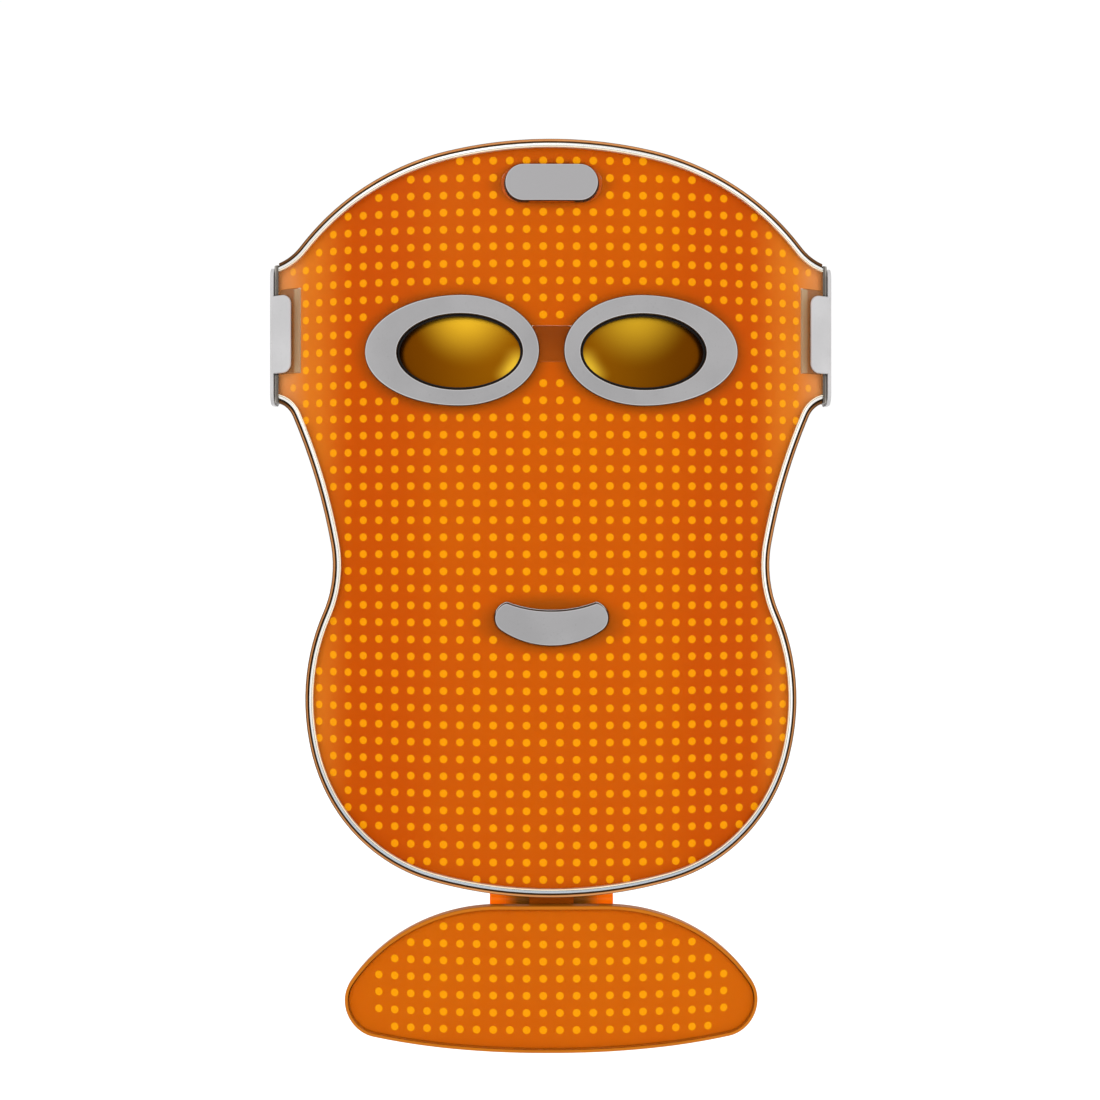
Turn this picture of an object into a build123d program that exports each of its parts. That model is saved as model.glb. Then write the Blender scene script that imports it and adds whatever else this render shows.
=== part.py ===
"""LED face mask: a curved face panel, a hinged chin panel and a head strap.

The mask is upright, as it is worn. X runs from the wearer's right to the wearer's left, the front of the
mask looks along -Y, and Z is up. The origin is the middle of the face seat, at the height of the eyes.
All sizes are in millimetres. Pieces named left are the wearer's left, at +X.
"""

import os
from math import cos, degrees, radians, sin

from build123d import *

os.makedirs("parts", exist_ok=True)

# The face curve, seen from above: tangent arcs from the middle to each side, (radius, sweep in degrees),
# at the front of the cover. Every layer is a wall between two depths behind that front.
FACE_DEPTH = 20.0
FACE_ARCS = ((342.5, 5.3), (167.5, 9.5), (91.8, 33.0))
REACH = 60.0
REACH_X = 100.0

# Layers of the mask, as (near, far) depths behind the front of the cover.
COVER = (0.0, 2.0)
TRIM = (-0.1, 2.2)
BOARD = (2.3, 2.7)
LED_FRONT = 2.72
LED_HEIGHT = 0.6
LINER = (3.6, 5.1)
LEDGE = (5.2, 7.4)
GASKET = (7.5, 11.5)
GASKET_GAP = (-6.0, 22.0)
TRIM_SPLIT_Z = 10.0

# Outline of the cover, seen from the front.
TOP_Z = 63.8
BOTTOM_Z = -167.5
EAR_X = 88.3
EAR_TOP_Z = 28.2
EAR_BOTTOM_Z = -11.5
DOME = ((31.5, 60.5), (78.6, 33.7), (EAR_X, EAR_TOP_Z))
CHEEK = ((37.5, -162.7), (73.8, -127.0), (70.3, -83.2), (67.4, -59.5), (80.7, -17.8), (EAR_X, EAR_BOTTOM_Z))

# Growth of each layer beyond the outline of the cover.
BOARD_GROWTH = 1.4
TRIM_GROWTH = (0.1, 1.5)
FRAME_WALL = (1.75, 2.8)
FRAME_FRONT = 0.7
LEDGE_WIDTH = 5.5

# Outline of the chin panel, at its rear shell.
CHIN_TOP_Z = -173.0
CHIN_BOTTOM_Z = -218.9
CHIN_EDGE = ((16.5, -173.05), (63.8, -198.8), (56.1, -215.5), (0.0, CHIN_BOTTOM_Z))
CHIN_RIM = 1.0
CHIN_BACK_ROUND = 3.0
CHIN_LEDGE_WIDTH = 6.5
CHIN_GAP = 0.35
CHIN_SHELL = (0.9, 7.0)
CHIN_LEDGE_FRONT = 5.2
CHIN_PAD = (7.1, 11.0)
TONGUE_HALF = 17.0

# Eyes: egg-shaped rings, fuller at the nose and longer at the temple, around oval lenses.
EYE_X = 28.6
EYE_Z = 0.5
EYE_TEMPLE = 30.2
EYE_NOSE = 24.8
EYE_HALF_HEIGHT = 17.4
LENS_X = 28.8
LENS_Z = 0.1
LENS_HALF = (19.7, 11.8)
RING_PROUD = 1.0
RING_BACK = 6.0
NECK_INSET = 2.5
LENS = (2.9, 4.4)
LENS_LIP = 1.0
GASKET_FRONT = 0.2
GASKET_LIP = 0.7
CUP_BACK = 16.0

# Mouth insert, power button and bridge.
MOUTH_BOTTOM_Z = -91.6
MOUTH_TURN = (15.6, -86.9)
MOUTH_END = (17.7, -82.7)
MOUTH_CORNER = (14.0, -78.3)
MOUTH_TOP = (7.2, -80.2)
MOUTH_DIP_Z = -80.8
BUTTON_Z = 52.8
BUTTON_SIZE = (29.1, 11.5)
BUTTON_PROUD = 0.6
STEM_Z = 50.8
STEM_RADIUS = 2.0
BRIDGE_HALF = 6.5
BRIDGE_Z = (-2.8, 8.4)
HOLE_GAP = 0.3

# Nose pad behind the bridge of the nose.
NOSE_PAD_HALF = 11.0
NOSE_PAD_Z = (-36.0, -13.5)
NOSE_PAD_BACK = 11.0
NOSE_HALF = 4.5

# The grid of LEDs: equal steps along the face curve and down the panel.
LED_RADIUS = 1.25
LED_STEP = 5.22
LED_ROW_STEP = 5.36
LED_TOP_ROW_Z = 60.1
LED_COLUMNS = 17
LED_EDGE = 0.5
WAIST_EDGE = 1.1
WAIST_Z = (-50.0, -28.0)
EYE_MARGIN = 2.4
MOUTH_MARGIN = 3.0
BUTTON_MARGIN = 1.2
CHIN_LED_TOP_ROW_Z = -179.9
CHIN_LED_HALF = 56.0
CHIN_CORNER = (52.0, -209.0)

# Strap clips at the ears.
TAB_X = 83.7
TAB_Z = (-4.8, 20.3)
TAB_PROUD = 1.0
LEAF_X = 81.0
LEAF_Z = (-4.6, 22.4)
LEAF = (2.3, 4.9)
SEAL = (0.3, 5.9)
SEAL_X = (88.4, 89.9)
SEAL_Z = (-14.2, 30.4)
BAR_X = (90.0, 91.1)
BAR_Z = (-14.9, 29.8)
ARM_Z = (-12.0, 26.0)
ARM_BACK = 35.0
STRAP_Z = 7.0
STRAP_WIDTH = 30.0
STRAP_THICK = 1.4
SLOT_Y = (27.8, 31.0)
HEAD_HALF = 81.0
HEAD_MIDDLE_Y = 90.0
HEAD_BACK_Y = 186.0
EAR_BLOCK_X = 84.5
EAR_BLOCK_Y = (6.0, 11.2)
EAR_BLOCK_Z = (-3.0, 18.5)
CLIP_SCREW_Y = 9.2
CLIP_SCREW_Z = (1.0, 14.5)

# Control pod at the forehead.
POD_HALF = 30.0
POD_Z = (22.0, 55.0)
POD = (5.2, 13.4)
POD_COVER = (13.5, 15.0)
POD_WALL = 1.5
FOREHEAD_PAD = (15.1, FACE_DEPTH)
POD_BOSSES = [(x, z) for x in (-26.3, 26.3) for z in (25.7, 51.3)]
BOSS_HALF = 2.2
POD_SCREW_SEAT = -5.0
POD_CORNER = 4.0
CONTROL_BOARD_Y = (-8.6, -7.6)
CONTROL_BOARD_HALF = 23.0
CONTROL_BOARD_Z = (24.5, 45.2, 53.3)
BATTERY_X = (-23.5, -0.5)
BATTERY_Y = (-11.9, -7.4)
BATTERY_Z = (24.5, 44.5)
USB_Z = 34.0
USB_SIZE = (8.94, 3.26)
USB_LENGTH = 7.35

# Flat ribbon cables: from the LED board to the control pod, and across the chin hinge.
BOARD_RIBBON_X = (-20.0, -10.0)
BOARD_RIBBON_Z = 45.7
RIBBON_X = (-7.0, 7.0)
RIBBON = (6.7, 6.9)
RIBBON_Z = (-182.0, -157.0)
RIBBON_PLAY = (0.3, 0.4)

# Chin hinge.
HINGE_Y = 10.0 - FACE_DEPTH
HINGE_Z = -172.6
HINGE_HALF = 19.5
BRACKET_Z = (-168.5, -158.5)
LEAF_PLATE_Z = (-190.0, -176.0)
KNUCKLE = 4.8
RUNNING_GAP = 0.05
BARREL_HALF = HINGE_HALF - KNUCKLE - RUNNING_GAP
BARREL_RADIUS = 2.4
PIN_RADIUS = 1.0
HINGE_SCREW_X = (-9.0, 9.0)
BRACKET_SCREW_Z = -164.0
LEAF_SCREW_Z = -185.0

# Screws: the hole that the thread bites, the thread, a clear hole, and the head.
SCREW_PILOT = 0.93
SCREW_THREAD = 0.9
SCREW_CLEAR = 1.0
SCREW_HEAD = 1.7
CROSS = (2.2, 0.5, 0.5)

# Rounding of the front edges that the fingers and the face can touch.
SOFT_EDGE = 0.6

HIGH = 80.0
LOW = -230.0


# ---- shapes that several pieces share


def save(piece, name):
    """Label a finished piece and write its STEP file."""
    piece.part.label = name
    export_step(piece.part, f"parts/{name}.step")


def save_pair(piece, name):
    """Write a piece of the wearer's left side, and its mirror image on the right."""
    save(piece, f"{name}_left")
    with BuildPart() as twin:
        mirror(piece.part, about=Plane.YZ)
    save(twin, f"{name}_right")


def depth_y(depth):
    """The Y of a depth behind the front of the cover, at the middle of the mask."""
    return depth - FACE_DEPTH


def curve_place(depth, distance):
    """X, Y and turn in degrees of the face curve, at a distance along it from the middle."""
    x, y, turn = 0.0, depth_y(depth), 0.0
    for front_radius, sweep in FACE_ARCS:
        radius = front_radius - depth
        step = min(degrees(distance / radius), sweep)
        x += radius * (sin(radians(turn + step)) - sin(radians(turn)))
        y += radius * (cos(radians(turn)) - cos(radians(turn + step)))
        turn += step
        distance -= radius * radians(step)
    return x, y, turn


def face_curve(depth):
    """The face curve at a depth, from the middle to its left end."""
    with BuildLine() as curve:
        point, heading = (0, depth_y(depth)), (1, 0)
        for front_radius, sweep in FACE_ARCS:
            arc = JernArc(point, heading, front_radius - depth, sweep)
            point, heading = arc @ 1, arc % 1
    return curve.line


def wall(layer, low=LOW, high=HIGH):
    """A slab that follows the face curve, between two depths and two heights."""
    near, far = layer
    with BuildPart() as slab:
        with BuildSketch(Plane.XY.offset(low)):
            with BuildLine():
                add(face_curve(near))
                add(face_curve(far))
                Line(face_curve(near).wires()[0] @ 1, face_curve(far).wires()[0] @ 1)
                mirror(about=Plane.YZ)
            make_face()
        extrude(amount=high - low)
    return slab.part


def half_outline(start, points):
    """Tangent arcs through points, from a start on the middle line where the outline is level."""
    with BuildLine() as line:
        heading = (1, 0)
        for point in points:
            arc = TangentArc(start, point, tangent=heading)
            start, heading = arc @ 1, arc % 1
    return line.line


def mask_outline(growth=0.0):
    """The outline of the mask, grown by a distance but never past the ears."""
    with BuildSketch() as shape:
        with BuildLine():
            add(half_outline((0, TOP_Z), DOME))
            add(half_outline((0, BOTTOM_Z), CHEEK))
            Line((EAR_X, EAR_TOP_Z), (EAR_X, EAR_BOTTOM_Z))
            mirror(about=Plane.YZ)
        make_face()
        if growth:
            offset(amount=growth, mode=Mode.REPLACE)
        Rectangle(2 * EAR_X, 600, mode=Mode.INTERSECT)
    return shape.sketch


def chin_outline(growth=0.0):
    """The outline of the chin panel's rear shell, grown by a distance."""
    with BuildSketch() as shape:
        with BuildLine():
            add(half_outline((0, CHIN_TOP_Z), CHIN_EDGE))
            mirror(about=Plane.YZ)
        make_face()
        if growth:
            offset(amount=growth, mode=Mode.REPLACE)
    return shape.sketch


def eye_egg(growth=0.0):
    """The egg outline of the left eye ring, grown by a distance."""
    with BuildSketch() as shape:
        with BuildLine():
            height = EYE_HALF_HEIGHT + growth
            EllipticalCenterArc((EYE_X, EYE_Z), EYE_TEMPLE + growth, height, start_angle=-90, arc_size=180)
            EllipticalCenterArc((EYE_X, EYE_Z), EYE_NOSE + growth, height, start_angle=90, arc_size=180)
        make_face()
    return shape.sketch


def lens_oval(growth=0.0):
    """The oval of the left lens opening, grown by a distance."""
    with BuildSketch() as shape:
        with Locations((LENS_X, LENS_Z)):
            Ellipse(LENS_HALF[0] + growth, LENS_HALF[1] + growth)
    return shape.sketch


def mouth_outline(growth=0.0):
    """The smile of the mouth insert, grown by a distance."""
    with BuildSketch() as shape:
        with BuildLine():
            add(half_outline((0, MOUTH_BOTTOM_Z), (MOUTH_TURN, MOUTH_END, MOUTH_CORNER)))
            ThreePointArc(MOUTH_CORNER, MOUTH_TOP, (0, MOUTH_DIP_Z))
            mirror(about=Plane.YZ)
        make_face()
        if growth:
            offset(amount=growth, mode=Mode.REPLACE)
    return shape.sketch


def button_outline(growth=0.0):
    """The long round-ended outline of the power button, grown by a distance."""
    width, height = BUTTON_SIZE
    with BuildSketch() as shape:
        with Locations((0, BUTTON_Z)):
            SlotOverall(width + 2 * growth, height + 2 * growth)
    return shape.sketch


def block(x, z, radius=0.0):
    """A rectangle seen from the front, given by its X and Z limits."""
    with BuildSketch() as shape:
        with Locations(((x[0] + x[1]) / 2, (z[0] + z[1]) / 2)):
            if radius:
                RectangleRounded(x[1] - x[0], z[1] - z[0], radius)
            else:
                Rectangle(x[1] - x[0], z[1] - z[0])
    return shape.sketch


def grown_block(x, z):
    """A rectangle that leaves a flat ribbon its play all round."""
    side_play, end_play = RIBBON_PLAY
    return block((x[0] - side_play, x[1] + side_play), (z[0] - end_play, z[1] + end_play))


def rod_hole(x, z, radius):
    """A round hole seen from the front."""
    with BuildSketch() as shape:
        with Locations((x, z)):
            Circle(radius)
    return shape.sketch


def both(sketch):
    """A sketch and its mirror image about the middle line."""
    with BuildSketch() as shape:
        add(sketch)
        mirror(sketch, about=Plane.YZ)
    return shape.sketch


def cut_from(layer, outline, holes=()):
    """A curved layer cut to an outline, with holes through it."""
    with BuildPart() as piece:
        add(wall(layer))
        with BuildSketch(Plane.XZ):
            add(outline)
            for hole in holes:
                add(hole, mode=Mode.SUBTRACT)
        extrude(amount=REACH, both=True, mode=Mode.INTERSECT)
    return piece.part


def front_rim(piece, depth):
    """The edges round the front of a piece whose front face lies at a depth."""
    curve = face_curve(depth)

    def at_the_front(face):
        point = face.position_at(0.5, 0.5)
        return Vertex(abs(point.X), point.Y, 0).distance_to(curve) < 0.01

    edges = [edge for face in piece.faces() if at_the_front(face) for edge in face.edges()]
    return [edge for edge in edges if sum(edge.is_same(other) for other in edges) == 1]


def ring_of(outer, inner):
    """The band between two outlines."""
    with BuildSketch() as shape:
        add(outer)
        add(inner, mode=Mode.SUBTRACT)
    return shape.sketch


def led_positions(area, top_row, low):
    """Where the LEDs of the grid stand whose centres lie in an area seen from the front."""
    places = []
    rows = int((top_row - low) / LED_ROW_STEP) + 1
    for row in range(rows):
        z = top_row - row * LED_ROW_STEP
        for column in range(LED_COLUMNS):
            x, y, turn = curve_place(LED_FRONT, (column + 0.5) * LED_STEP)
            if not any(face.is_inside(Vector(x, z, 0)) for face in area.faces()):
                continue
            for side in (1, -1):
                inward = (-side * sin(radians(turn)), cos(radians(turn)), 0)
                places.append(Plane((side * x, y, z), x_dir=(0, 0, 1), z_dir=inward))
    return places


def led_group(places):
    """One small round LED at each place, as separate solids."""
    with BuildPart() as led:
        Cylinder(LED_RADIUS, LED_HEIGHT, align=(Align.CENTER, Align.CENTER, Align.MIN))
    return Compound(children=[led.part.moved(place.location) for place in places])


def rod_y(x, z, radius, near, far):
    """A round bar along Y at a place seen from the front, between two Y values."""
    with BuildPart() as rod:
        with BuildSketch(Plane.XZ.offset(-near)):
            with Locations((x, z)):
                Circle(radius)
        extrude(amount=near - far)
    return rod.part


def rod_x(y, z, radius, near, far):
    """A round bar along X at a Y and a Z, between two X values."""
    with BuildPart() as rod:
        with BuildSketch(Plane.YZ.offset(near)):
            with Locations((y, z)):
                Circle(radius)
        extrude(amount=far - near)
    return rod.part


def screw_y(x, z, tip, seat, height):
    """A cross-head screw along Y: its thread from the tip to the seat, and its head behind the seat."""
    top = seat + height
    with BuildPart() as screw:
        add(rod_y(x, z, SCREW_THREAD, tip, seat))
        add(rod_y(x, z, SCREW_HEAD, seat, top))
        with BuildSketch(Plane.XZ.offset(-top)):
            with Locations((x, z)):
                Rectangle(CROSS[0], CROSS[1])
                Rectangle(CROSS[1], CROSS[0])
        extrude(amount=CROSS[2], mode=Mode.SUBTRACT)
    return screw.part


def box_of(x, y, z):
    """A plain box given by its limits along each axis."""
    with BuildPart() as box:
        with Locations(((x[0] + x[1]) / 2, (y[0] + y[1]) / 2, (z[0] + z[1]) / 2)):
            Box(x[1] - x[0], y[1] - y[0], z[1] - z[0])
    return box.part


# ---- the mask's shells

board_slot = grown_block(BOARD_RIBBON_X, (BOARD_RIBBON_Z, BOARD_RIBBON_Z))
mask_ribbon_slot = grown_block(RIBBON_X, (RIBBON_Z[1], RIBBON_Z[1]))
chin_ribbon_slot = grown_block(RIBBON_X, (RIBBON_Z[0], RIBBON_Z[0]))
ribbon_groove = grown_block(RIBBON_X, RIBBON_Z)
eye_holes = both(eye_egg(HOLE_GAP - NECK_INSET))
mouth_hole = mouth_outline(HOLE_GAP)
button_hole = button_outline(HOLE_GAP)
bridge_hole = block((-BRIDGE_HALF - 0.1, BRIDGE_HALF + 0.1), (BRIDGE_Z[0] - 0.1, BRIDGE_Z[1] + 0.1))
leaf_holes = both(block((LEAF_X - 0.3, EAR_X + 5), (LEAF_Z[0] - 0.3, LEAF_Z[1] + 0.3)))

with BuildPart() as front_cover:
    add(cut_from(COVER, mask_outline(), (eye_holes, mouth_hole, button_hole)))
    fillet(front_rim(front_cover.part, COVER[0]), SOFT_EDGE)
save(front_cover, "front_cover")

trim_band = ring_of(mask_outline(TRIM_GROWTH[1]), mask_outline(TRIM_GROWTH[0]))

with BuildPart() as upper_trim:
    add(cut_from(TRIM, trim_band, (block((-REACH_X, REACH_X), (LOW, TRIM_SPLIT_Z)),)))
save(upper_trim, "upper_trim")

with BuildPart() as lower_trim:
    add(cut_from(TRIM, trim_band, (block((-REACH_X, REACH_X), (TRIM_SPLIT_Z, HIGH)),)))
save(lower_trim, "lower_trim")

with BuildSketch() as button_lip:
    with Locations((0, BUTTON_Z)):
        SlotOverall(BUTTON_SIZE[0] + 2.4, BUTTON_SIZE[1])

with BuildSketch() as button_board_hole:
    with Locations((0, BUTTON_Z)):
        SlotOverall(BUTTON_SIZE[0] + 2.64, BUTTON_SIZE[1] + 0.24)

with BuildPart() as led_board:
    board_holes = (eye_holes, mouth_hole, bridge_hole, leaf_holes, button_board_hole.sketch)
    add(cut_from(BOARD, mask_outline(BOARD_GROWTH), board_holes))
save(led_board, "led_board")

with BuildSketch() as led_area:
    add(mask_outline(-LED_EDGE))
    add(ring_of(block((-REACH_X, REACH_X), WAIST_Z), mask_outline(-WAIST_EDGE)), mode=Mode.SUBTRACT)
    add(both(eye_egg(EYE_MARGIN)), mode=Mode.SUBTRACT)
    add(block((-BRIDGE_HALF, BRIDGE_HALF), (BRIDGE_Z[0] - 5, BRIDGE_Z[1])), mode=Mode.SUBTRACT)
    add(mouth_outline(MOUTH_MARGIN), mode=Mode.SUBTRACT)
    add(button_outline(BUTTON_MARGIN), mode=Mode.SUBTRACT)
    add(both(block((LEAF_X - 1.1, EAR_X), (LEAF_Z[0] - 1.4, LEAF_Z[1] + 1.6))), mode=Mode.SUBTRACT)

leds = led_group(led_positions(led_area.sketch, LED_TOP_ROW_Z, BOTTOM_Z))
leds.label = "leds"
export_step(leds, "parts/leds.step")

with BuildPart() as inner_liner:
    stem_hole = rod_hole(0, STEM_Z, STEM_RADIUS + 0.2)
    liner_holes = (eye_holes, mouth_hole, leaf_holes, stem_hole, mask_ribbon_slot, board_slot)
    add(cut_from(LINER, mask_outline(BOARD_GROWTH), liner_holes))
save(inner_liner, "inner_liner")

with BuildPart() as rear_frame:
    rim = ring_of(mask_outline(FRAME_WALL[1]), mask_outline(FRAME_WALL[0]))
    add(cut_from((FRAME_FRONT, LEDGE[1]), rim))
    fillet(front_rim(rear_frame.part, FRAME_FRONT), 0.4)
    add(cut_from(LEDGE, ring_of(mask_outline(FRAME_WALL[1]), mask_outline(-LEDGE_WIDTH))))
    for side in (-1, 1):
        x_limits = sorted((side * EAR_BLOCK_X, side * (EAR_X - 0.1)))
        add(box_of(x_limits, EAR_BLOCK_Y, EAR_BLOCK_Z))
        for z in CLIP_SCREW_Z:
            pilot_x = sorted((side * (EAR_BLOCK_X + 0.5), side * (EAR_X + 0.7)))
            add(rod_x(CLIP_SCREW_Y, z, SCREW_PILOT, *pilot_x), mode=Mode.SUBTRACT)
    for x in HINGE_SCREW_X:
        add(rod_y(x, BRACKET_SCREW_Z, SCREW_PILOT, -15.5, -12.0), mode=Mode.SUBTRACT)
    add(cut_from((RIBBON[0] - 0.1, LEDGE[1] + 1), ribbon_groove), mode=Mode.SUBTRACT)
save(rear_frame, "rear_frame")

gasket_band = ring_of(mask_outline(1.0), mask_outline(-3.5))
ear_gap = block((-REACH_X, REACH_X), GASKET_GAP)

with BuildPart() as brow_gasket:
    add(cut_from(GASKET, gasket_band, (ear_gap, block((-REACH_X, REACH_X), (LOW, GASKET_GAP[0])))))
save(brow_gasket, "brow_gasket")

with BuildPart() as cheek_gasket:
    bracket_gap = block((-HINGE_HALF - 1.5, HINGE_HALF + 1.5), (LOW, BRACKET_Z[1] + 8.5))
    above_ears = block((-REACH_X, REACH_X), (GASKET_GAP[1], HIGH))
    add(cut_from(GASKET, gasket_band, (ear_gap, above_ears, bracket_gap)))
save(cheek_gasket, "cheek_gasket")


# ---- the eyes

with BuildPart() as eye_ring:
    add(cut_from((-RING_PROUD, -0.02), eye_egg(), (lens_oval(),)))
    add(cut_from((-RING_PROUD, RING_BACK), eye_egg(-NECK_INSET), (lens_oval(),)))
    add(cut_from((LENS[0] - 0.5, RING_BACK + 1), lens_oval(LENS_LIP)), mode=Mode.SUBTRACT)
    fillet(front_rim(eye_ring.part, -RING_PROUD), SOFT_EDGE)
save_pair(eye_ring, "eye_ring")

with BuildPart() as eye_gasket:
    opening = lens_oval(-GASKET_LIP)
    add(cut_from((LENS[0] - 0.45, LENS[0] - 0.05), ring_of(lens_oval(LENS_LIP - 0.1), opening)))
    add(cut_from((GASKET_FRONT, LENS[0] - 0.05), ring_of(lens_oval(-0.05), opening)))
save_pair(eye_gasket, "eye_gasket")

with BuildPart() as eye_lens:
    add(cut_from(LENS, lens_oval(LENS_LIP - 0.2)))
save_pair(eye_lens, "eye_lens")

with BuildPart() as lens_retainer:
    add(cut_from((LENS[1] + 0.1, RING_BACK - 0.1), ring_of(lens_oval(LENS_LIP - 0.2), lens_oval(-1.2))))
save_pair(lens_retainer, "lens_retainer")

with BuildPart() as eye_cup:
    add(cut_from((RING_BACK + 0.05, RING_BACK + 1.5), ring_of(eye_egg(-0.5), lens_oval(-1.0))))
    add(cut_from((RING_BACK + 0.05, CUP_BACK), ring_of(lens_oval(3.0), lens_oval(0.6))))
save_pair(eye_cup, "eye_cup")

with BuildPart() as eye_bridge:
    bridge_area = block((-BRIDGE_HALF, BRIDGE_HALF), BRIDGE_Z, 1.2)
    add(cut_from(BOARD, bridge_area, (both(eye_egg(0.1 - NECK_INSET)),)))
    rib_area = block((1 - BRIDGE_HALF, BRIDGE_HALF - 1), (BRIDGE_Z[0] + 1, BRIDGE_Z[1] - 1), 1)
    add(cut_from((BOARD[0], LINER[0] - 0.1), rib_area))
save(eye_bridge, "eye_bridge")


# ---- the mouth insert and the nose pad

with BuildPart() as mouth_insert:
    add(cut_from((-BUTTON_PROUD, LINER[1] + 0.7), mouth_outline()))
    fillet(front_rim(mouth_insert.part, -BUTTON_PROUD), 0.5)
save(mouth_insert, "mouth_insert")

with BuildPart() as mouth_retainer:
    add(cut_from((LINER[1] + 0.05, LINER[1] + 1.6), ring_of(mouth_outline(2.2), mouth_outline(0.1))))
save(mouth_retainer, "mouth_retainer")

with BuildPart() as nose_pad:
    nose_gap = block((-NOSE_HALF, NOSE_HALF), (NOSE_PAD_Z[0] - 10, NOSE_PAD_Z[1] - 6.5), NOSE_HALF - 0.5)
    nose_area = block((-NOSE_PAD_HALF, NOSE_PAD_HALF), NOSE_PAD_Z, NOSE_PAD_HALF / 2)
    add(cut_from((LINER[1] + 0.05, NOSE_PAD_BACK), nose_area, (nose_gap,)))
save(nose_pad, "nose_pad")


# ---- the control pod

with BuildPart() as pod_housing:
    add(cut_from(POD, block((-POD_HALF, POD_HALF), POD_Z, POD_CORNER)))
    inside_x = (POD_WALL - POD_HALF, POD_HALF - POD_WALL)
    inside = block(inside_x, (POD_Z[0] + POD_WALL, POD_Z[1] - POD_WALL), POD_CORNER - POD_WALL)
    add(cut_from((POD[0] + POD_WALL, POD[1] + 1), inside), mode=Mode.SUBTRACT)
    for x, z in POD_BOSSES:
        boss = block((x - BOSS_HALF, x + BOSS_HALF), (z - BOSS_HALF, z + BOSS_HALF), BOSS_HALF - 0.1)
        add(cut_from((POD[0] + POD_WALL - 0.1, POD[1]), boss))
        add(rod_y(x, z, SCREW_PILOT, POD_SCREW_SEAT - 6.5, 0), mode=Mode.SUBTRACT)
    stem_y = (depth_y(POD[0] - 1), depth_y(POD[0] + 3))
    add(rod_y(0, STEM_Z, STEM_RADIUS + 0.2, *stem_y), mode=Mode.SUBTRACT)
    add(cut_from((POD[0] - 0.5, POD[0] + POD_WALL + 0.5), board_slot), mode=Mode.SUBTRACT)
    usb_y = (CONTROL_BOARD_Y[0] - USB_SIZE[1] - 0.15, CONTROL_BOARD_Y[0] + 0.15)
    usb_z = (USB_Z - USB_SIZE[0] / 2 - 0.15, USB_Z + USB_SIZE[0] / 2 + 0.15)
    add(box_of((POD_HALF - 3, POD_HALF + 1), usb_y, usb_z), mode=Mode.SUBTRACT)
save(pod_housing, "pod_housing")

with BuildPart() as pod_cover:
    add(cut_from(POD_COVER, block((-POD_HALF, POD_HALF), POD_Z, POD_CORNER)))
    for x, z in POD_BOSSES:
        add(rod_y(x, z, SCREW_CLEAR, -10, 0), mode=Mode.SUBTRACT)
        add(rod_y(x, z, SCREW_HEAD + 0.15, POD_SCREW_SEAT, 0), mode=Mode.SUBTRACT)
save(pod_cover, "pod_cover")

with BuildPart() as pod_screws:
    for x, z in POD_BOSSES:
        add(screw_y(x, z, POD_SCREW_SEAT - 6, POD_SCREW_SEAT, 0.9))
save(pod_screws, "pod_screws")

with BuildPart() as control_board:
    low, step, high = CONTROL_BOARD_Z
    add(box_of((-CONTROL_BOARD_HALF, CONTROL_BOARD_HALF), CONTROL_BOARD_Y, (step, high)))
    add(box_of((2, CONTROL_BOARD_HALF), CONTROL_BOARD_Y, (low, step + 0.8)))
    add(box_of((6, 13), (CONTROL_BOARD_Y[0] - 1.0, CONTROL_BOARD_Y[0]), (30, 37)))
    add(box_of((6, 10), (CONTROL_BOARD_Y[0] - 1.4, CONTROL_BOARD_Y[0]), (39.5, 44)))
    add(box_of((-20.5, -9.5), (CONTROL_BOARD_Y[0] - 1.2, CONTROL_BOARD_Y[0]), (47.2, 50.5)))
save(control_board, "control_board")

with BuildPart() as tact_switch:
    switch_y = (CONTROL_BOARD_Y[0] - 2.02, CONTROL_BOARD_Y[0] - 0.02)
    add(box_of((-3, 3), switch_y, (STEM_Z - 2.5, STEM_Z + 2.5)))
    add(rod_y(0, STEM_Z, 1.6, CONTROL_BOARD_Y[0] - 2.6, CONTROL_BOARD_Y[0] - 2.0))
save(tact_switch, "tact_switch")

with BuildPart() as battery:
    add(box_of(BATTERY_X, BATTERY_Y, BATTERY_Z))
    fillet(battery.edges().filter_by(Axis.Z), 1.6)
save(battery, "battery")

with BuildPart() as usb_c_socket:
    with BuildSketch(Plane.YZ.offset(POD_HALF - USB_LENGTH)):
        with Locations((CONTROL_BOARD_Y[0] - USB_SIZE[1] / 2 - 0.02, USB_Z)):
            RectangleRounded(USB_SIZE[1], USB_SIZE[0], 1.5)
            RectangleRounded(USB_SIZE[1] - 0.7, USB_SIZE[0] - 0.7, 1.2, mode=Mode.SUBTRACT)
            Rectangle(0.7, USB_SIZE[0] - 2.4)
    extrude(amount=USB_LENGTH)
    with BuildSketch(Plane.YZ.offset(POD_HALF - USB_LENGTH)):
        with Locations((CONTROL_BOARD_Y[0] - USB_SIZE[1] / 2 - 0.02, USB_Z)):
            RectangleRounded(USB_SIZE[1], USB_SIZE[0], 1.5)
    extrude(amount=1.0)
save(usb_c_socket, "usb_c_socket")

with BuildPart() as board_ribbon:
    ribbon_limits = (BOARD_RIBBON_Z - 0.1, BOARD_RIBBON_Z + 0.1)
    ribbon_front = curve_place(BOARD[1] + 0.05, -BOARD_RIBBON_X[0])[1]
    add(box_of(BOARD_RIBBON_X, (ribbon_front, CONTROL_BOARD_Y[0] - 0.05), ribbon_limits))
save(board_ribbon, "board_ribbon")

with BuildPart() as forehead_pad:
    add(cut_from(FOREHEAD_PAD, block((-POD_HALF, POD_HALF), (POD_Z[0] - 1, POD_Z[1]), 6)))
save(forehead_pad, "forehead_pad")

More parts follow.
